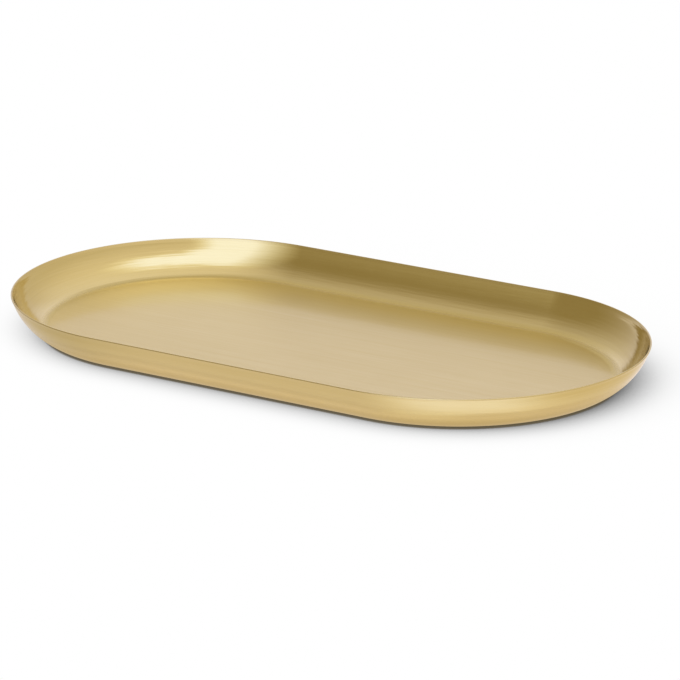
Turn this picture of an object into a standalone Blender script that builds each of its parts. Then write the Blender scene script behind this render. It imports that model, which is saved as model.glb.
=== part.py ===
# An oval serving tray: one pressed brass shell that stands on small rubber feet.
#
# Metres, +Z up, +X along the tray's length. The origin is at the middle of the tray, on the
# surface that it stands on.
#
# The shell is one sheet of even thickness. Its outline is two half circles joined by straight
# sides, and its section is a flat floor, a small corner radius, and a wall that leans out and
# grows steeper up to the rim. Every ring of the shell keeps the rim's half circle centres and
# only changes its radius, so the wall has the same section all the way round.

import math

import bmesh
import bpy
from mathutils import Vector

# The tray's outline, measured over the rim
TRAY_LENGTH = 0.410
TRAY_WIDTH = 0.229

# The shell's section
SHELL_HEIGHT = 0.0220
SHEET_THICKNESS = 0.0010
CORNER_RADIUS = 0.0040
WALL_FOOT_SLOPE = math.radians(30.0)
WALL_RIM_SLOPE = math.radians(73.0)

# The feet: small self-adhesive rubber discs with a rounded lower edge
FOOT_DIAMETER = 0.012
FOOT_STAND = 0.0015
FOOT_EDGE_RADIUS = 0.0004
FOOT_EDGE_SETBACK = 0.018
FOOT_BEARING = math.radians(45.0)
SEAT_GAP = 0.0003

# How finely the round stretches are divided
END_STEPS = 40
CORNER_STEPS = 3
WALL_STEPS = 8
RIM_STEPS = 4
FOOT_SIDES = 32
FOOT_EDGE_STEPS = 2
SMOOTH_ANGLE = math.radians(35.0)

# Worked out from the sizes above
HALF_SHEET = SHEET_THICKNESS / 2
END_RADIUS = TRAY_WIDTH / 2
HALF_STRAIGHT = TRAY_LENGTH / 2 - END_RADIUS
MID_CORNER_RADIUS = CORNER_RADIUS + HALF_SHEET
CORNER_RISE = MID_CORNER_RADIUS * (1 - math.cos(WALL_FOOT_SLOPE))
CORNER_REACH = MID_CORNER_RADIUS * math.sin(WALL_FOOT_SLOPE)
WALL_RISE = SHELL_HEIGHT - SHEET_THICKNESS - CORNER_RISE
WALL_RADIUS = WALL_RISE / (math.cos(WALL_FOOT_SLOPE) - math.cos(WALL_RIM_SLOPE))
WALL_REACH = WALL_RADIUS * (math.sin(WALL_RIM_SLOPE) - math.sin(WALL_FOOT_SLOPE))
BASE_RADIUS = END_RADIUS - HALF_SHEET - WALL_REACH - CORNER_REACH

BRASS_COLOUR = (0.78, 0.60, 0.30, 1.0)
RUBBER_COLOUR = (0.045, 0.043, 0.040, 1.0)


def clear_scene():
    """Remove whatever the open file holds."""
    for old in list(bpy.data.objects):
        bpy.data.objects.remove(old, do_unlink=True)


def make_material(name, colour, metallic, roughness):
    """A Principled material of one colour."""
    material = bpy.data.materials.new(name)
    material.use_nodes = True
    shader = material.node_tree.nodes["Principled BSDF"]
    shader.inputs["Base Color"].default_value = colour
    shader.inputs["Metallic"].default_value = metallic
    shader.inputs["Roughness"].default_value = roughness
    material.diffuse_color = colour
    return material


def make_object(name, mesh, material):
    """Wrap a bmesh as a named, smooth shaded object with its material."""
    bmesh.ops.recalc_face_normals(mesh, faces=mesh.faces)
    data = bpy.data.meshes.new(name)
    mesh.to_mesh(data)
    mesh.free()
    data.materials.append(material)
    data.shade_smooth()
    data.set_sharp_from_angle(angle=SMOOTH_ANGLE)
    piece = bpy.data.objects.new(name, data)
    bpy.context.collection.objects.link(piece)
    return piece


def mid_sheet_points():
    """The middle of the sheet from the floor's edge to the rim, as (radius, height, slope)."""
    points = []
    for step in range(CORNER_STEPS + 1):
        slope = WALL_FOOT_SLOPE * step / CORNER_STEPS
        radius = BASE_RADIUS + MID_CORNER_RADIUS * math.sin(slope)
        height = MID_CORNER_RADIUS * (1 - math.cos(slope))
        points.append((radius, height, slope))
    for step in range(1, WALL_STEPS + 1):
        slope = WALL_FOOT_SLOPE + (WALL_RIM_SLOPE - WALL_FOOT_SLOPE) * step / WALL_STEPS
        rise = math.cos(WALL_FOOT_SLOPE) - math.cos(slope)
        reach = math.sin(slope) - math.sin(WALL_FOOT_SLOPE)
        radius = BASE_RADIUS + CORNER_REACH + WALL_RADIUS * reach
        height = CORNER_RISE + WALL_RADIUS * rise
        points.append((radius, height, slope))
    return points


def section_points():
    """The shell's section from under the floor's edge, over the rim, to the floor's edge.

    The rim is a half round, with a point at its outermost and at its highest place.
    """
    middle = mid_sheet_points()
    outer = []
    inner = []
    for radius, height, slope in middle:
        out = HALF_SHEET * math.sin(slope)
        down = HALF_SHEET * math.cos(slope)
        outer.append((radius + out, height - down))
        inner.append((radius - out, height + down))
    rim_radius, rim_height, rim_slope = middle[-1]
    rim = []
    for step in range(RIM_STEPS):
        turn = math.pi * step / RIM_STEPS
        if abs(turn - rim_slope) < math.pi / 2:
            out = HALF_SHEET * math.cos(turn)
            up = HALF_SHEET * math.sin(turn)
            rim.append((rim_radius + out, rim_height + up))
    return outer + rim + inner[::-1]


def add_ring(mesh, radius, height):
    """One closed ring of the outline: two half circles joined by straight sides."""
    ring = []
    for side in (1, -1):
        for step in range(END_STEPS + 1):
            turn = math.pi * step / END_STEPS - math.pi / 2
            x = side * (HALF_STRAIGHT + radius * math.cos(turn))
            y = side * radius * math.sin(turn)
            ring.append(mesh.verts.new((x, y, height)))
    return ring


def make_tray_shell(material):
    """The pressed sheet, as rings of its section joined into one closed skin."""
    mesh = bmesh.new()
    underside = FOOT_STAND + HALF_SHEET
    rings = [add_ring(mesh, radius, underside + height) for radius, height in section_points()]
    for low, high in zip(rings, rings[1:]):
        for here in range(len(low)):
            after = (here + 1) % len(low)
            mesh.faces.new((low[here], low[after], high[after], high[here]))
    mesh.faces.new(rings[0])
    mesh.faces.new(rings[-1])
    return make_object("tray_shell", mesh, material)


def make_foot(name, centre, material):
    """One rubber disc, its lower edge rounded, its top just clear of the shell."""
    thickness = FOOT_STAND - SEAT_GAP
    mesh = bmesh.new()
    bmesh.ops.create_cone(
        mesh,
        cap_ends=True,
        segments=FOOT_SIDES,
        radius1=FOOT_DIAMETER / 2,
        radius2=FOOT_DIAMETER / 2,
        depth=thickness,
    )
    lower_edge = [e for e in mesh.edges if all(v.co.z < 0 for v in e.verts)]
    bmesh.ops.bevel(
        mesh,
        geom=lower_edge,
        offset=FOOT_EDGE_RADIUS,
        segments=FOOT_EDGE_STEPS,
        profile=0.5,
        affect="EDGES",
    )
    foot = make_object(name, mesh, material)
    foot.location = centre + Vector((0, 0, thickness / 2))
    return foot


def foot_places():
    """The name and middle of each foot, one under each quarter of the base."""
    reach = BASE_RADIUS - FOOT_EDGE_SETBACK
    for end_name, end in (("left", -1), ("right", 1)):
        for side_name, side in (("front", -1), ("back", 1)):
            x = end * (HALF_STRAIGHT + reach * math.cos(FOOT_BEARING))
            y = side * reach * math.sin(FOOT_BEARING)
            yield f"foot_{side_name}_{end_name}", Vector((x, y, 0))


def main():
    clear_scene()
    brass = make_material("brushed_brass", BRASS_COLOUR, 1.0, 0.30)
    rubber = make_material("foot_rubber", RUBBER_COLOUR, 0.0, 0.75)
    make_tray_shell(brass)
    for name, centre in foot_places():
        make_foot(name, centre, rubber)


main()
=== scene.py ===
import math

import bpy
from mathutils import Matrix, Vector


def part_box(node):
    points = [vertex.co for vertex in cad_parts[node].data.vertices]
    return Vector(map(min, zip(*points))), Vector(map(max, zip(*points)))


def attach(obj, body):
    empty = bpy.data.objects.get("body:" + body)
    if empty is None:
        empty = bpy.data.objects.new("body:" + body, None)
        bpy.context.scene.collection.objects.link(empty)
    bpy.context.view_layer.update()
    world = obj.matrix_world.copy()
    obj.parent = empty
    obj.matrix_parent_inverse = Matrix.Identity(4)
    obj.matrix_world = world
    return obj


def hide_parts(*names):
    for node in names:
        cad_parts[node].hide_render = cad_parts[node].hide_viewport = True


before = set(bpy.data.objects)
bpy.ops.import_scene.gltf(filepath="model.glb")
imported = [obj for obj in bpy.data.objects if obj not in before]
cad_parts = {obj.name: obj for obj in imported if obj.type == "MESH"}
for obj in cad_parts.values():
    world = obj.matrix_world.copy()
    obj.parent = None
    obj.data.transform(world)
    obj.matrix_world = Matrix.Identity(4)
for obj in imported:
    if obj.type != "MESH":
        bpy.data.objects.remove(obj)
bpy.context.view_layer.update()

# Looks for the oval brass serving tray. Everything is in metres, in the frame of the packed
# model: +X along the tray's length, +Z up, the origin on the surface that the tray stands on.

# The shell's section. The sheet, the wall's slope at its foot and the outer corner are those of
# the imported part. The inner corner is softer, and the wall ends a little less steep. The outline
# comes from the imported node's box.
SHEET_THICKNESS = 0.0010
CORNER_RADIUS = 0.0040
SOFT_CORNER_RADIUS = 0.0140
WALL_FOOT_SLOPE = math.radians(30.0)
WALL_TOP_SLOPE = math.radians(70.0)

# The last stretch below the rim turns out a little
LIP_LENGTH = 0.0022
LIP_SLOPE = math.radians(61.0)

# How finely the visible shell is divided
END_STEPS = 120
STRAIGHT_STEPS = 60
CORNER_STEPS = 14
WALL_STEPS = 32
LIP_STEPS = 6
RIM_STEPS = 12

# The flat ring at the floor's edge, the map units in a metre, how far down the cut rim reaches,
# and the upward parts of the normal between which the wall's finish turns into the floor's
FLOOR_MARGIN = 0.0020
MAP_SCALE = 20.0
EDGE_DEPTH = 0.0015
LEVEL_NORMALS = (math.cos(math.radians(26.0)), math.cos(math.radians(4.0)))

# The rubber feet and the adhesive that holds them
FOOT_SIDES = 72
FOOT_EDGE_RADIUS = 0.00042
FOOT_EDGE_STEPS = 6
FOOT_SHARP_ANGLE = math.radians(32.0)
FOOT_DRAFT = 0.00012
FOOT_RECESS_RADIUS = 0.0021
FOOT_RECESS_FLAT_SHARE = 0.9
FOOT_RECESS_DEPTH = 0.00014
FOOT_LIP_RADIUS = 0.00006
ADHESIVE_INSET = 0.0005
ADHESIVE_CLEARANCE = 0.00003
RUBBER_INDEX = 0
ADHESIVE_INDEX = 1

# Colours, in linear light
BRASS = (0.75, 0.648, 0.315)
BRASS_DEEP = (0.70, 0.59, 0.265)
BRASS_PALE = (0.79, 0.695, 0.365)
BRASS_RIM = (0.60, 0.50, 0.27)
RUBBER = (0.030, 0.029, 0.028)
RUBBER_DUST = (0.085, 0.082, 0.076)
ADHESIVE = (0.42, 0.40, 0.36)
ADHESIVE_DEEP = (0.30, 0.285, 0.25)
WHITE = (1.0, 1.0, 1.0)

# Noise. The scale is in cells to a metre. A stretch multiplies it by direction, which for all but
# the smudges is twice along the brush lines and once across them. A shift moves the noise, and a
# range is the part of it that is used.
FINE_LINES = dict(scale=1.0, detail=3.0, roughness=0.6, stretch=(30.0, 30.0, 3800.0))
MIDDLE_LINES = dict(
    scale=1.0, detail=3.0, roughness=0.6, stretch=(14.0, 14.0, 1000.0), shift=(3.1, 1.7, 5.3)
)
BROAD_LINES = dict(
    scale=1.0, detail=2.0, roughness=0.5, stretch=(7.0, 7.0, 220.0), shift=(9.2, 4.4, 2.6)
)
WALL_MARKS = dict(
    scale=1.0, detail=2.0, roughness=0.55, stretch=(26.0, 26.0, 520.0), shift=(6.6, 2.2, 8.8)
)
UNEVEN = dict(scale=1.0, detail=1.0, roughness=0.5, stretch=(9.0, 9.0, 40.0))
CLOUDS = dict(scale=22.0, detail=3.0, roughness=0.55)
SMUDGES = dict(
    scale=55.0, detail=4.0, roughness=0.6, stretch=(1.0, 1.0, 1.0), shift=(0.37, 0.11, 0.52)
)
RUBBER_GRAIN = dict(scale=9000.0, detail=3.0, roughness=0.6)
DUST_PATCHES = dict(scale=420.0, detail=3.0, roughness=0.6)
FOAM_CELLS = dict(scale=5200.0, detail=2.0, roughness=0.6)
TONE_RANGE = (0.35, 0.65)
LINES_RANGE = (0.30, 0.70)
BROAD_RANGE = (0.3, 0.7)
CLOUDS_RANGE = (0.35, 0.68)
SMUDGES_RANGE = (0.45, 0.75)
GRAIN_RANGE = (0.3, 0.7)
DUST_RANGE = (0.52, 0.75)

# The brass's finish. The fine and the middle share add up to the brush lines, and each other
# share is the most that a colour or a roughness takes.
ANISOTROPY = 0.80
COAT_WEIGHT = 0.5
COAT_ROUGHNESS = 0.12
FINE_SHARE = 0.4
MIDDLE_SHARE = 0.6
DEEP_SHARE = 0.30
PALE_SHARE = 0.60
RIM_COLOUR_SHARE = 0.40
RIM_ROUGHNESS_SHARE = 0.75
RIM_ROUGHNESS = 0.22
LINES_ROUGHNESS = (0.125, 0.055)
LEVEL_ROUGHNESS = 0.28
BROAD_ROUGHNESS = (-0.022, 0.022)
SMUDGES_ROUGHNESS = (0.0, 0.02)
UNEVEN_BUMP = dict(strength=0.10, distance=0.0006)
BROAD_BUMP = dict(strength=0.20, distance=0.00006)
LINES_BUMP = dict(strength=0.10, distance=0.00005)
MARKS_STRENGTH = 0.60
MARKS_DISTANCE = 0.00018

# The finish of the rubber and of the foam
RUBBER_SPECULAR = 0.35
RUBBER_ROUGHNESS = (0.62, 0.82)
RUBBER_BUMP = dict(strength=0.30, distance=0.00005)
DUST_SHARE = 0.30
FOAM_ROUGHNESS = (0.75, 0.92)
FOAM_BUMP = dict(strength=0.35, distance=0.00006)

# The floor. The camera sees white less a painted shade, which follows how much lies open within a
# reach, leaning towards the light, and a dark, warm line of painted contact shadow where the tray
# comes close.
FLOOR_HALF = 6.0
FLOOR_GREY = (0.80, 0.80, 0.80)
SHADE_SAMPLES = 16
SHADE_REACH = 0.25
SHADE_LEAN = Vector((-0.086, -0.447, 1.0)).normalized()
SHADE_OPEN = (0.129, 0.976)
SHADE_POWER = 2.14
SHADE_DEEPEST_SHARE = 0.93
# Painted contact shadow: how close the tray must come, and the dark, warm colour painted there
CONTACT_SHADOW_REACH = 0.0020
CONTACT_SHADOW_OPEN = (0.60, 0.88)
CONTACT_SHADOW_COLOUR = (0.115, 0.092, 0.052)

# The floor as the metal mirrors it: pale with a soft shine, with painted shade that dims it towards
# the left end, warm painted shade towards the right end and deep painted shade close under the
# tray. The two fades run in metres from the middle.
FLOOR_IN_METAL = (1.03, 0.88, 0.785)
SHINE_SHARE = 0.43
SHINE_ROUGHNESS = 0.30
# Painted shade that dims the mirrored ground towards the left end
GROUND_DIM = (0.30, 0.26, 0.12)
GROUND_DIM_FADES = (0.05, 0.17)
GROUND_DIM_SHARE = 0.33
# Warm painted shade on the mirrored ground towards the right end
GROUND_WARM_SHADE = (0.57, 0.41, 0.11)
GROUND_WARM_SHADE_FADES = (0.175, 0.215)
GROUND_WARM_SHADE_SHARE = 0.40
# Painted shade on the mirrored ground close under the tray, from how much lies open there
GROUND_UNDER_SHADE = (0.56, 0.42, 0.19)
GROUND_UNDER_SHADE_SAMPLES = 4
GROUND_UNDER_SHADE_REACH = 0.0060
GROUND_UNDER_SHADE_OPEN = (0.35, 0.90)
GROUND_UNDER_SHADE_SHARE = 0.56

# Bounces are counted in whole numbers, so these tell none from one and one from two
BELOW_ONE = 0.5
ABOVE_ONE = 1.5

# The studio as the metal sees it: pale walls and ceiling, and one dim, warm side. Azimuths are
# in degrees from the front, growing towards +X, and elevations in degrees above the floor. The
# two that rise to the right do so with the X part of the direction.
SKY_LOW = (0.675, 0.59, 0.585)
SKY_LOW_RIGHT = (0.69, 0.58, 0.43)
LOW_RIGHT_RISES = (-0.45, 0.05)
SKY_PALE = (0.90, 0.81, 0.77)
SKY_RIGHT = (0.87, 0.75, 0.61)
RIGHT_RISES = (-0.2, 0.6)
SKY_RISES = (0.0, 38.0)
SKY_RISES_RIGHT = (7.0, 45.0)
SKY_TOP = (0.86, 0.75, 0.63)
TOP_RISES = (52.0, 84.0)
SKY_DIM = (0.34, 0.262, 0.132)
DIM_PATCH = dict(azimuth=-50.0, elevation=27.0, whole=18.0, gone=72.0)
DIM_RISES = (2.0, 9.0)

# The large soft light: an upright part at the front and an overhead part that runs on to the
# right. Each edge is the pair of angles between which it fades.
LIGHT = (1.27, 1.31, 1.68)
LIGHT_FADING = (1.30, 1.18, 0.82)
LIGHT_LEFT_EDGE = (-35.0, -2.0)
LIGHT_LEFT_CURVE = 1.3
UPRIGHT_RIGHT_EDGE = (22.0, 42.5)
UPRIGHT_LEAN = 1.4
UPRIGHT_LEAN_STARTS = 37.0
UPRIGHT_LOW_EDGE = (4.0, 16.0)
UPRIGHT_HIGH_EDGE = (69.0, 88.0)
OVERHEAD_RIGHT_EDGE = (86.0, 140.0)
OVERHEAD_LOW_EDGE = (42.0, 56.0)
OVERHEAD_HIGH_EDGE = (64.0, 85.0)

# A paler stretch of ceiling, a paler stretch of wall behind, and a darker one between them
CROWN = (1.12, 1.02, 0.92)
CROWN_PATCH = dict(azimuth=150.0, elevation=72.0, whole=8.0, gone=30.0)
CROWN_SHARE = 0.2
GLOW = (0.99, 0.92, 1.00)
GLOW_PATCH = dict(azimuth=-148.0, elevation=27.0, whole=9.0, gone=26.0)
GLOW_SHARE = 0.6
BEHIND = (0.60, 0.50, 0.33)
BEHIND_PATCH = dict(azimuth=-142.0, elevation=50.0, whole=6.0, gone=27.0)

# Light that reaches the tray's floor by way of its wall comes from a paler stretch of ceiling
TWICE = (1.27, 1.14, 0.95)
TWICE_PATCH = dict(azimuth=178.0, elevation=72.0, whole=7.0, gone=24.0)

# The camera, from a fit of the rim and the lower edge in the photograph. Its two angles are in
# degrees, like those of the studio.
CAMERA_AZIMUTH = 32.64
CAMERA_ELEVATION = 17.46
CAMERA_DISTANCE = 2.6293
CAMERA_TARGET = Vector((0.0350, -0.0389, 0.0235))
CAMERA_LENS_MM = 238.2
CAMERA_SENSOR_MM = 36.0
CAMERA_NEAR = 0.05
CAMERA_FAR = 50.0


# What several pieces share

def show(name, data):
    """A new object in the scene with the given mesh or camera."""
    shown = bpy.data.objects.new(name, data)
    bpy.context.scene.collection.objects.link(shown)
    return shown


def direction(azimuth, elevation):
    """The unit vector from the tray towards an azimuth and an elevation, in degrees."""
    a, e = math.radians(azimuth), math.radians(elevation)
    return Vector((math.sin(a) * math.cos(e), -math.cos(a) * math.cos(e), math.sin(e)))


def travelled(points):
    """The distance along the points from the first one to each of them."""
    lengths = [0.0]
    for here, after in zip(points, points[1:]):
        lengths.append(lengths[-1] + math.dist(here, after))
    return lengths


# The shell

SHELL_LOW, SHELL_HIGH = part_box("tray_shell")
HALF_SHEET = SHEET_THICKNESS / 2
END_RADIUS = (SHELL_HIGH.y - SHELL_LOW.y) / 2
HALF_STRAIGHT = (SHELL_HIGH.x - SHELL_LOW.x) / 2 - END_RADIUS
SHELL_HEIGHT = SHELL_HIGH.z - SHELL_LOW.z
LIP_RADIUS = LIP_LENGTH / (WALL_TOP_SLOPE - LIP_SLOPE)
LIP_RISE = LIP_RADIUS * (math.cos(LIP_SLOPE) - math.cos(WALL_TOP_SLOPE))
LIP_REACH = LIP_RADIUS * (math.sin(WALL_TOP_SLOPE) - math.sin(LIP_SLOPE))


def section_middle(corner_radius):
    """The middle of the sheet from the floor's edge to the rim, as (radius, height, slope)."""
    bend = corner_radius + HALF_SHEET
    corner_rise = bend * (1 - math.cos(WALL_FOOT_SLOPE))
    corner_reach = bend * math.sin(WALL_FOOT_SLOPE)
    wall_rise = SHELL_HEIGHT - SHEET_THICKNESS - corner_rise - LIP_RISE
    wall_radius = wall_rise / (math.cos(WALL_FOOT_SLOPE) - math.cos(WALL_TOP_SLOPE))
    wall_reach = wall_radius * (math.sin(WALL_TOP_SLOPE) - math.sin(WALL_FOOT_SLOPE))
    base = END_RADIUS - HALF_SHEET - LIP_REACH - wall_reach - corner_reach
    points = []
    for step in range(CORNER_STEPS + 1):
        slope = WALL_FOOT_SLOPE * step / CORNER_STEPS
        points.append((base + bend * math.sin(slope), bend * (1 - math.cos(slope)), slope))
    for step in range(1, WALL_STEPS + 1):
        slope = WALL_FOOT_SLOPE + (WALL_TOP_SLOPE - WALL_FOOT_SLOPE) * step / WALL_STEPS
        reach = wall_radius * (math.sin(slope) - math.sin(WALL_FOOT_SLOPE))
        rise = wall_radius * (math.cos(WALL_FOOT_SLOPE) - math.cos(slope))
        points.append((base + corner_reach + reach, corner_rise + rise, slope))
    radius, height, _ = points[-1]
    for step in range(1, LIP_STEPS + 1):
        slope = WALL_TOP_SLOPE + (LIP_SLOPE - WALL_TOP_SLOPE) * step / LIP_STEPS
        reach = LIP_RADIUS * (math.sin(WALL_TOP_SLOPE) - math.sin(slope))
        rise = LIP_RADIUS * (math.cos(slope) - math.cos(WALL_TOP_SLOPE))
        points.append((radius + reach, height + rise, slope))
    return points


def section():
    """The shell's section from under the floor, over the rim, to the top of the floor.

    Each entry is (radius, height, outward part of the normal, upward part of the normal).
    """
    middle = section_middle(CORNER_RADIUS)
    soft_middle = section_middle(SOFT_CORNER_RADIUS)
    outer, inner, rim = [], [], []
    for radius, height, slope in middle:
        out, up = math.sin(slope), math.cos(slope)
        outer.append((radius + HALF_SHEET * out, height - HALF_SHEET * up, out, -up))
    for radius, height, slope in soft_middle:
        out, up = math.sin(slope), math.cos(slope)
        inner.append((radius - HALF_SHEET * out, height + HALF_SHEET * up, -out, up))
    rim_radius, rim_height, rim_slope = middle[-1]
    start = rim_slope - math.pi / 2
    for step in range(1, RIM_STEPS):
        turn = start + math.pi * step / RIM_STEPS
        turns = [turn]
        # The outermost and the topmost point are among the turns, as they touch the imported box
        for exact in (0.0, math.pi / 2):
            if turn < exact < turn + math.pi / RIM_STEPS:
                turns.append(exact)
        for angle in turns:
            out, up = math.cos(angle), math.sin(angle)
            rim.append((rim_radius + HALF_SHEET * out, rim_height + HALF_SHEET * up, out, up))
    under = (middle[0][0] - FLOOR_MARGIN, -HALF_SHEET, 0.0, -1.0)
    top = (soft_middle[0][0] - FLOOR_MARGIN, HALF_SHEET, 0.0, 1.0)
    return [under] + outer + rim + inner[::-1] + [top]


def outline():
    """The stops of one lap of the outline, as (middle x, outward x, outward y)."""
    stops = []
    for side in (1, -1):
        for step in range(END_STEPS + 1):
            turn = math.pi * step / END_STEPS - math.pi / 2
            stops.append((side * HALF_STRAIGHT, side * math.cos(turn), side * math.sin(turn)))
        for step in range(1, STRAIGHT_STEPS):
            share = 1 - 2 * step / STRAIGHT_STEPS
            stops.append((side * HALF_STRAIGHT * share, 0.0, float(side)))
    return stops


def shell_points(profile, stops, laps, along):
    """The places, normals, values of "streaks" and values of "edge", ring by ring."""
    sheet_height = SHELL_LOW.z + HALF_SHEET
    lap = laps[-1]
    lap_radius = lap / (2 * math.pi)
    verts, normals, streaks, edges = [], [], [], []
    for (radius, height, out, up), travel in zip(profile, along):
        z = sheet_height + height
        for (mid, nx, ny), length in zip(stops, laps):
            turn = 2 * math.pi * length / lap
            verts.append((mid + radius * nx, radius * ny, z))
            normals.append((out * nx, out * ny, up))
            streaks.append((lap_radius * math.cos(turn), lap_radius * math.sin(turn), travel))
            edges.append(max(0.0, 1.0 - (SHELL_HIGH.z - z) / EDGE_DEPTH))
    return verts, normals, streaks, edges


def shell_faces(verts, laps, along):
    """The faces, their corners in the map "brushing", and whether each follows the floor."""
    count = len(laps) - 1
    bands = len(along) - 1
    faces, maps, on_floor = [], [], []
    for band in range(bands):
        flat = band in (0, bands - 1)
        v0, v1 = along[band], along[band + 1]
        for here in range(count):
            after = (here + 1) % count
            a, b = band * count + here, band * count + after
            faces.append((a, b, b + count, a + count))
            if flat:
                maps.append([verts[i][:2] for i in faces[-1]])
            else:
                u0, u1 = laps[here], laps[here + 1]
                maps.append([(u0, v0), (u1, v0), (u1, v1), (u0, v1)])
            on_floor.append(flat)
    last = bands * count
    for plate in (tuple(range(count))[::-1], tuple(range(last, last + count))):
        faces.append(plate)
        maps.append([verts[i][:2] for i in plate])
        on_floor.append(True)
    return faces, maps, on_floor


def build_shell(material):
    """The pressed sheet, with exact normals and with maps that follow its brushing.

    The map "brushing" has U along the brush lines and V across them. "streaks" holds the same
    in three numbers without a seam, "edge" is 1 on the rim, and "level" is 1 on the floor.
    """
    profile = section()
    stops = outline()
    rim = [(x + END_RADIUS * nx, END_RADIUS * ny) for x, nx, ny in stops]
    laps = travelled(rim + rim[:1])
    along = travelled([(radius, height) for radius, height, _, _ in profile])
    verts, normals, streaks, edges = shell_points(profile, stops, laps, along)
    faces, maps, on_floor = shell_faces(verts, laps, along)
    steep, whole = LEVEL_NORMALS
    levels = [min(1.0, max(0.0, (abs(up) - steep) / (whole - steep))) for _, _, up in normals]

    mesh = bpy.data.meshes.new("brass_shell")
    mesh.from_pydata(verts, [], faces)
    mesh.validate()
    uv_values, streak_values = [], []
    for face, corners, flat in zip(faces, maps, on_floor):
        for vertex, corner in zip(face, corners):
            x, y, z = verts[vertex]
            uv_values.extend(MAP_SCALE * value for value in corner)
            streak_values.extend((x, z, y) if flat else streaks[vertex])
    # Each layer is filled before the next is made, as a new one moves the others in memory
    mesh.uv_layers.new(name="brushing").data.foreach_set("uv", uv_values)
    for name, kind, domain, key, values in (
        ("streaks", "FLOAT_VECTOR", "CORNER", "vector", streak_values),
        ("edge", "FLOAT", "POINT", "value", edges),
        ("level", "FLOAT", "POINT", "value", levels),
    ):
        mesh.attributes.new(name, kind, domain).data.foreach_set(key, values)
    mesh.shade_smooth()
    mesh.normals_split_custom_set_from_vertices(normals)
    mesh.materials.append(material)
    return show("brass_shell", mesh)


# The feet

def foot_profile(low, high):
    """The foot's section from its middle below to its middle above.

    Each entry is (radius, height, index of the material up to there). Heights count from the
    surface that the feet stand on.
    """
    radius = (high.x - low.x) / 2
    top = high.z
    rim = radius - FOOT_EDGE_RADIUS
    points = [
        (0.0, FOOT_RECESS_DEPTH, RUBBER_INDEX),
        (FOOT_RECESS_RADIUS * FOOT_RECESS_FLAT_SHARE, FOOT_RECESS_DEPTH, RUBBER_INDEX),
        (FOOT_RECESS_RADIUS, FOOT_LIP_RADIUS, RUBBER_INDEX),
        (FOOT_RECESS_RADIUS + FOOT_LIP_RADIUS, 0.0, RUBBER_INDEX),
    ]
    for step in range(FOOT_EDGE_STEPS + 1):
        turn = math.pi / 2 * step / FOOT_EDGE_STEPS
        out, down = math.sin(turn), 1 - math.cos(turn)
        points.append((rim + FOOT_EDGE_RADIUS * out, FOOT_EDGE_RADIUS * down, RUBBER_INDEX))
    points.append((radius - FOOT_DRAFT, top - FOOT_LIP_RADIUS, RUBBER_INDEX))
    points.append((radius - FOOT_DRAFT - FOOT_LIP_RADIUS, top, RUBBER_INDEX))
    pad = radius - ADHESIVE_INSET
    pad_top = SHELL_LOW.z - ADHESIVE_CLEARANCE
    points.append((pad, top, ADHESIVE_INDEX))
    points.append((pad, pad_top, ADHESIVE_INDEX))
    points.append((0.0, pad_top, ADHESIVE_INDEX))
    return points


def build_foot(name, node, rubber, adhesive):
    """A moulded rubber foot on its adhesive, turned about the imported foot's own middle."""
    low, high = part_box(node)
    centre = Vector(((low.x + high.x) / 2, (low.y + high.y) / 2, low.z))
    profile = foot_profile(low, high)
    verts, faces, starts, indices = [], [], [], []
    for radius, height, _ in profile:
        starts.append(len(verts))
        sides = FOOT_SIDES if radius > 0 else 1
        for side in range(sides):
            turn = 2 * math.pi * side / FOOT_SIDES
            offset = Vector((radius * math.cos(turn), radius * math.sin(turn), height))
            verts.append(tuple(centre + offset))
    for ring in range(len(profile) - 1):
        below, above = starts[ring], starts[ring + 1]
        for side in range(FOOT_SIDES):
            after = (side + 1) % FOOT_SIDES
            if profile[ring][0] == 0:
                face = (below, above + after, above + side)
            elif profile[ring + 1][0] == 0:
                face = (below + side, below + after, above)
            else:
                face = (below + side, below + after, above + after, above + side)
            faces.append(face)
            indices.append(profile[ring + 1][2])
    mesh = bpy.data.meshes.new(name)
    mesh.from_pydata(verts, [], faces)
    mesh.materials.append(rubber)
    mesh.materials.append(adhesive)
    for polygon, index in zip(mesh.polygons, indices):
        polygon.material_index = index
    mesh.validate()
    mesh.shade_smooth()
    mesh.set_sharp_from_angle(angle=FOOT_SHARP_ANGLE)
    return show(name, mesh)


# The materials

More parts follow.
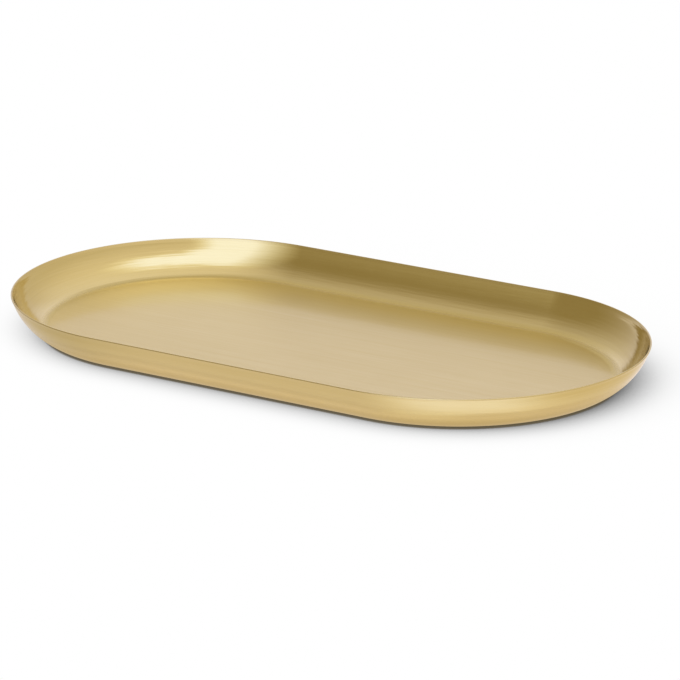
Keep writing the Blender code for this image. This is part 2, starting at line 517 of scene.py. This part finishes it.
class Nodes:
    """Short calls for building one node tree. A value is a number, a tuple or a socket."""

    def __init__(self, owner):
        """Starts with the emptied tree of a material or a world."""
        owner.use_nodes = True
        self.tree = owner.node_tree
        self.tree.nodes.clear()

    def add(self, kind, **settings):
        node = self.tree.nodes.new(kind)
        for key, value in settings.items():
            setattr(node, key, value)
        return node

    def put(self, socket, value):
        if isinstance(value, bpy.types.NodeSocket):
            self.tree.links.new(value, socket)
        elif value is not None:
            socket.default_value = value

    def math(self, operation, a, b=None, clamp=False):
        node = self.add("ShaderNodeMath", operation=operation, use_clamp=clamp)
        for socket, value in zip(node.inputs, (a, b)):
            self.put(socket, value)
        return node.outputs[0]

    def plus(self, a, b):
        return self.math("ADD", a, b)

    def times(self, whole, *shares):
        for share in shares:
            whole = self.math("MULTIPLY", whole, share)
        return whole

    def attribute(self, name, output):
        node = self.add("ShaderNodeAttribute", attribute_name=name)
        return node.outputs[output]

    def split(self, vector):
        node = self.add("ShaderNodeSeparateXYZ")
        self.put(node.inputs["Vector"], vector)
        return node.outputs

    def noise(self, vector, scale, detail, roughness, stretch=None, shift=(0.0, 0.0, 0.0)):
        if stretch:
            mapping = self.add("ShaderNodeMapping")
            self.put(mapping.inputs["Vector"], vector)
            mapping.inputs["Scale"].default_value = stretch
            mapping.inputs["Location"].default_value = shift
            vector = mapping.outputs["Vector"]
        node = self.add("ShaderNodeTexNoise")
        self.put(node.inputs["Vector"], vector)
        node.inputs["Scale"].default_value = scale
        node.inputs["Detail"].default_value = detail
        node.inputs["Roughness"].default_value = roughness
        return node.outputs["Fac"]

    def spread(self, value, low, high, to_low, to_high, smooth=False):
        node = self.add("ShaderNodeMapRange")
        if smooth:
            node.interpolation_type = "SMOOTHSTEP"
        for name, given in (
            ("Value", value), ("From Min", low), ("From Max", high),
            ("To Min", to_low), ("To Max", to_high),
        ):
            self.put(node.inputs[name], given)
        return node.outputs["Result"]

    def rise(self, value, edge):
        return self.spread(value, *edge, 0.0, 1.0, smooth=True)

    def fall(self, value, edge):
        return self.spread(value, *edge, 1.0, 0.0, smooth=True)

    def mix(self, data_type, factor, a, b):
        node = self.add("ShaderNodeMix", data_type=data_type)
        for name, given in (("Factor", factor), ("A", a), ("B", b)):
            self.put(node.inputs[name], given)
        return node.outputs["Result"]

    def mix_value(self, factor, a, b):
        return self.mix("FLOAT", factor, a, b)

    def mix_colour(self, factor, a, b):
        a, b = ((*colour, 1.0) if isinstance(colour, tuple) else colour for colour in (a, b))
        return self.mix("RGBA", factor, a, b)

    def mix_shader(self, factor, a, b):
        node = self.add("ShaderNodeMixShader")
        for socket, given in zip(node.inputs, (factor, a, b)):
            self.put(socket, given)
        return node.outputs[0]

    def bump(self, height, strength, distance, normal=None):
        node = self.add("ShaderNodeBump")
        self.put(node.inputs["Strength"], strength)
        node.inputs["Distance"].default_value = distance
        self.put(node.inputs["Height"], height)
        self.put(node.inputs["Normal"], normal)
        return node.outputs["Normal"]

    def openness(self, reach, samples, normal=None):
        """How much lies open within a reach, from 0 to 1."""
        node = self.add("ShaderNodeAmbientOcclusion", samples=samples)
        node.inputs["Distance"].default_value = reach
        self.put(node.inputs["Normal"], normal)
        return node.outputs["AO"]

    def glow(self, colour, strength=1.0):
        node = self.add("ShaderNodeEmission")
        node.inputs["Color"].default_value = (*colour, 1.0)
        self.put(node.inputs["Strength"], strength)
        return node.outputs[0]


def new_material(name):
    """A material of one shader, whose values are still to be set."""
    material = bpy.data.materials.new(name)
    n = Nodes(material)
    shader = n.add("ShaderNodeBsdfPrincipled")
    output = n.add("ShaderNodeOutputMaterial")
    n.put(output.inputs["Surface"], shader.outputs["BSDF"])
    return material, n, shader


def brass_material():
    """Satin brushed brass: fine lines along the wall and along the floor, a little tarnish
    and handling, and a cut rim that is darker and duller."""
    material, n, shader = new_material("brushed_brass")
    shader.inputs["Metallic"].default_value = 1.0
    shader.inputs["Anisotropic"].default_value = ANISOTROPY
    shader.inputs["Coat Weight"].default_value = COAT_WEIGHT
    shader.inputs["Coat Roughness"].default_value = COAT_ROUGHNESS

    streaks = n.attribute("streaks", "Vector")
    edge = n.attribute("edge", "Fac")
    level = n.attribute("level", "Fac")
    place = n.add("ShaderNodeTexCoord").outputs["Object"]

    # Brush lines: long along the first two numbers, a fraction of a millimetre apart across
    fine = n.noise(streaks, **FINE_LINES)
    middle = n.noise(streaks, **MIDDLE_LINES)
    broad = n.noise(streaks, **BROAD_LINES)
    lines = n.plus(n.times(fine, FINE_SHARE), n.times(middle, MIDDLE_SHARE))

    clouds = n.spread(n.noise(place, **CLOUDS), *CLOUDS_RANGE, 0.0, DEEP_SHARE)
    tone = n.spread(lines, *TONE_RANGE, 0.0, 1.0)
    colour = n.mix_colour(clouds, BRASS, BRASS_DEEP)
    colour = n.mix_colour(n.times(tone, PALE_SHARE), colour, BRASS_PALE)
    colour = n.mix_colour(n.times(edge, RIM_COLOUR_SHARE), colour, BRASS_RIM)
    n.put(shader.inputs["Base Color"], colour)

    rough = n.spread(lines, *LINES_RANGE, *LINES_ROUGHNESS)
    rough = n.plus(rough, n.times(level, LEVEL_ROUGHNESS))
    rough = n.plus(rough, n.spread(broad, *BROAD_RANGE, *BROAD_ROUGHNESS))
    smudges = n.noise(place, **SMUDGES)
    rough = n.plus(rough, n.spread(smudges, *SMUDGES_RANGE, *SMUDGES_ROUGHNESS))
    rough = n.mix_value(n.times(edge, RIM_ROUGHNESS_SHARE), rough, RIM_ROUGHNESS)
    n.put(shader.inputs["Roughness"], rough)

    normal = n.bump(n.noise(streaks, **UNEVEN), **UNEVEN_BUMP)
    normal = n.bump(broad, **BROAD_BUMP, normal=normal)
    normal = n.bump(lines, **LINES_BUMP, normal=normal)
    # Coarser brush marks on the wall only, a millimetre or two across and a few centimetres long
    on_wall = n.spread(level, 0.0, 1.0, MARKS_STRENGTH, 0.0)
    normal = n.bump(n.noise(streaks, **WALL_MARKS), on_wall, MARKS_DISTANCE, normal)
    n.put(shader.inputs["Normal"], normal)

    tangent = n.add("ShaderNodeTangent", direction_type="UV_MAP", uv_map="brushing")
    n.put(shader.inputs["Tangent"], tangent.outputs["Tangent"])
    return material


def rubber_material():
    """Moulded rubber: nearly black, with a fine matt grain and a trace of dust."""
    material, n, shader = new_material("moulded_rubber")
    shader.inputs["Specular IOR Level"].default_value = RUBBER_SPECULAR
    place = n.add("ShaderNodeTexCoord").outputs["Object"]
    grain = n.noise(place, **RUBBER_GRAIN)
    dust = n.spread(n.noise(place, **DUST_PATCHES), *DUST_RANGE, 0.0, DUST_SHARE)
    n.put(shader.inputs["Base Color"], n.mix_colour(dust, RUBBER, RUBBER_DUST))
    n.put(shader.inputs["Roughness"], n.spread(grain, *GRAIN_RANGE, *RUBBER_ROUGHNESS))
    n.put(shader.inputs["Normal"], n.bump(grain, **RUBBER_BUMP))
    return material


def adhesive_material():
    """The thin foam pad between a foot and the brass."""
    material, n, shader = new_material("foam_adhesive")
    place = n.add("ShaderNodeTexCoord").outputs["Object"]
    cells = n.noise(place, **FOAM_CELLS)
    n.put(shader.inputs["Base Color"], n.mix_colour(cells, ADHESIVE, ADHESIVE_DEEP))
    n.put(shader.inputs["Roughness"], n.spread(cells, *GRAIN_RANGE, *FOAM_ROUGHNESS))
    n.put(shader.inputs["Normal"], n.bump(cells, **FOAM_BUMP))
    return material


# The floor, the light and the camera

def floor_for_camera(n):
    """White ground with the tray's soft painted shadow, and a dark line of painted contact shadow
    where the tray comes close.
    """
    lean = n.add("ShaderNodeCombineXYZ")
    for socket, value in zip(lean.inputs, SHADE_LEAN):
        socket.default_value = value
    openness = n.openness(SHADE_REACH, SHADE_SAMPLES, lean.outputs[0])
    shade = n.math("POWER", n.spread(openness, *SHADE_OPEN, 1.0, 0.0), SHADE_POWER)
    shaded = n.glow(WHITE, n.math("SUBTRACT", 1.0, n.times(shade, SHADE_DEEPEST_SHARE)))
    # Painted contact shadow: a dark, warm glow where the tray comes close
    contact_shadow = n.spread(n.openness(CONTACT_SHADOW_REACH, SHADE_SAMPLES), *CONTACT_SHADOW_OPEN, 1.0, 0.0)
    return n.mix_shader(contact_shadow, shaded, n.glow(CONTACT_SHADOW_COLOUR))


def floor_for_metal(n):
    """Pale ground, evenly lit, with a soft shine and with painted shade towards both ends and close
    under the tray, which the metal mirrors.
    """
    gloss = n.add("ShaderNodeBsdfAnisotropic")
    gloss.inputs["Color"].default_value = (*WHITE, 1.0)
    gloss.inputs["Roughness"].default_value = SHINE_ROUGHNESS
    ground = n.mix_shader(SHINE_SHARE, n.glow(FLOOR_IN_METAL), gloss.outputs[0])
    x = n.split(n.add("ShaderNodeTexCoord").outputs["Object"])["X"]
    leftward = n.times(x, -1.0)
    # How much lies open close by, for the painted shade under the tray
    near = n.openness(GROUND_UNDER_SHADE_REACH, GROUND_UNDER_SHADE_SAMPLES)
    left = n.spread(leftward, *GROUND_DIM_FADES, 0.0, GROUND_DIM_SHARE, smooth=True)
    right = n.spread(x, *GROUND_WARM_SHADE_FADES, 0.0, GROUND_WARM_SHADE_SHARE, smooth=True)
    under = n.spread(near, *GROUND_UNDER_SHADE_OPEN, GROUND_UNDER_SHADE_SHARE, 0.0)
    # Painted shade in the mirrored ground: dim to the left, warm to the right, deep close under the
    # tray
    for share, colour in ((left, GROUND_DIM), (right, GROUND_WARM_SHADE), (under, GROUND_UNDER_SHADE)):
        ground = n.mix_shader(share, ground, n.glow(colour))
    return ground


def floor_material():
    """A floor that camera, metal and diffuse light each see in their own way."""
    material = bpy.data.materials.new("studio_floor")
    n = Nodes(material)
    path = n.add("ShaderNodeLightPath").outputs
    plain = n.add("ShaderNodeBsdfDiffuse")
    plain.inputs["Color"].default_value = (*FLOOR_GREY, 1.0)
    lit = n.mix_shader(path["Is Camera Ray"], plain.outputs[0], floor_for_camera(n))
    # Light that a diffuse surface sent on sees the plain floor
    first = n.math("LESS_THAN", path["Diffuse Depth"], BELOW_ONE)
    mirrored = n.plus(path["Is Glossy Ray"], path["Is Transmission Ray"])
    mirrored = n.math("MULTIPLY", mirrored, first, clamp=True)
    output = n.add("ShaderNodeOutputMaterial")
    n.put(output.inputs["Surface"], n.mix_shader(mirrored, lit, floor_for_metal(n)))
    return material


def build_floor():
    """One large square that the tray stands on, which isn't part of the tray."""
    half = FLOOR_HALF
    corners = [(-half, -half, 0.0), (half, -half, 0.0), (half, half, 0.0), (-half, half, 0.0)]
    mesh = bpy.data.meshes.new("studio_floor")
    mesh.from_pydata(corners, [], [(0, 1, 2, 3)])
    mesh.materials.append(floor_material())
    floor = show("studio_floor", mesh)


def patch(n, way, azimuth, elevation, whole, gone):
    """1 within the angle whole around a direction, falling to 0 at the angle gone."""
    towards = n.add("ShaderNodeVectorMath", operation="DOT_PRODUCT")
    n.put(towards.inputs[0], way)
    towards.inputs[1].default_value = direction(azimuth, elevation)
    near, far = math.cos(math.radians(whole)), math.cos(math.radians(gone))
    return n.spread(towards.outputs["Value"], far, near, 0.0, 1.0)


def sky_colour(n, way, x, elevation, again):
    """The walls and the ceiling by direction. Again is 1 for light that the metal mirrors twice."""
    low_right = n.rise(x, LOW_RIGHT_RISES)
    low = n.mix_colour(low_right, SKY_LOW, SKY_LOW_RIGHT)
    pale = n.mix_colour(n.rise(x, RIGHT_RISES), SKY_PALE, SKY_RIGHT)
    height = n.rise(elevation, SKY_RISES)
    height = n.mix_value(low_right, height, n.rise(elevation, SKY_RISES_RIGHT))
    colour = n.mix_colour(height, low, pale)
    for share, layer in (
        (n.times(patch(n, way, **GLOW_PATCH), GLOW_SHARE), GLOW),
        (n.times(patch(n, way, **DIM_PATCH), n.rise(elevation, DIM_RISES)), SKY_DIM),
        (n.rise(elevation, TOP_RISES), SKY_TOP),
        (n.times(patch(n, way, **CROWN_PATCH), CROWN_SHARE), CROWN),
        (patch(n, way, **BEHIND_PATCH), BEHIND),
        (n.times(patch(n, way, **TWICE_PATCH), again), TWICE),
    ):
        colour = n.mix_colour(share, colour, layer)
    return colour


def light_share(n, x, azimuth, elevation):
    """How much of the large soft light a direction sees, from 0 to 1."""
    above = n.math("MAXIMUM", n.math("SUBTRACT", elevation, UPRIGHT_LEAN_STARTS), 0.0)
    leaning = n.math("SUBTRACT", azimuth, n.times(above, UPRIGHT_LEAN))
    upright = n.times(
        n.fall(leaning, UPRIGHT_RIGHT_EDGE),
        n.rise(elevation, UPRIGHT_LOW_EDGE),
        n.fall(elevation, UPRIGHT_HIGH_EDGE),
    )
    overhead = n.times(
        n.fall(azimuth, OVERHEAD_RIGHT_EDGE),
        n.rise(elevation, OVERHEAD_LOW_EDGE),
        n.fall(elevation, OVERHEAD_HIGH_EDGE),
    )
    # The left edge goes by the mean of the azimuth and the angle to the side
    aside = n.math("DEGREES", n.math("ARCSINE", x))
    sideways = n.times(n.plus(azimuth, aside), 0.5)
    left = n.math("POWER", n.spread(sideways, *LIGHT_LEFT_EDGE, 0.0, 1.0), LIGHT_LEFT_CURVE)
    return n.times(n.math("MAXIMUM", upright, overhead), left)


def build_world():
    """The studio by direction. Diffuse surfaces, such as the floor, get the same light evenly."""
    world = bpy.data.worlds.new("studio")
    bpy.context.scene.world = world
    n = Nodes(world)
    path = n.add("ShaderNodeLightPath").outputs
    way = n.add("ShaderNodeTexCoord").outputs["Generated"]
    x, y, z = n.split(way)
    azimuth = n.math("DEGREES", n.math("ARCTAN2", x, n.times(y, -1.0)))
    elevation = n.math("DEGREES", n.math("ARCSINE", z))
    again = n.math("GREATER_THAN", path["Glossy Depth"], ABOVE_ONE)
    colour = sky_colour(n, way, x, elevation, again)
    light = light_share(n, x, azimuth, elevation)
    colour = n.mix_colour(light, colour, n.mix_colour(light, LIGHT_FADING, LIGHT))
    background = n.add("ShaderNodeBackground")
    n.put(background.inputs["Color"], n.mix_colour(path["Is Diffuse Ray"], colour, WHITE))
    output = n.add("ShaderNodeOutputWorld")
    n.put(output.inputs["Surface"], background.outputs["Background"])


def build_camera():
    """The camera that the photograph was taken with, as far as the fit tells."""
    data = bpy.data.cameras.new("camera")
    data.lens = CAMERA_LENS_MM
    data.sensor_width = CAMERA_SENSOR_MM
    data.sensor_fit = "HORIZONTAL"
    data.clip_start = CAMERA_NEAR
    data.clip_end = CAMERA_FAR
    camera = show("camera", data)
    back = direction(CAMERA_AZIMUTH, CAMERA_ELEVATION)
    camera.location = CAMERA_TARGET + back * CAMERA_DISTANCE
    camera.rotation_euler = back.to_track_quat("Z", "Y").to_euler()
    bpy.context.scene.camera = camera


# Everything put together

bpy.context.scene.view_settings.view_transform = "Standard"

brass = brass_material()
shell = build_shell(brass)
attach(shell, "root")
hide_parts("tray_shell")

rubber = rubber_material()
adhesive = adhesive_material()
for corner in ("front_left", "back_left", "front_right", "back_right"):
    foot = build_foot("rubber_foot_" + corner, "foot_" + corner, rubber, adhesive)
    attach(foot, "root")
    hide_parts("foot_" + corner)

build_floor()
build_world()
build_camera()
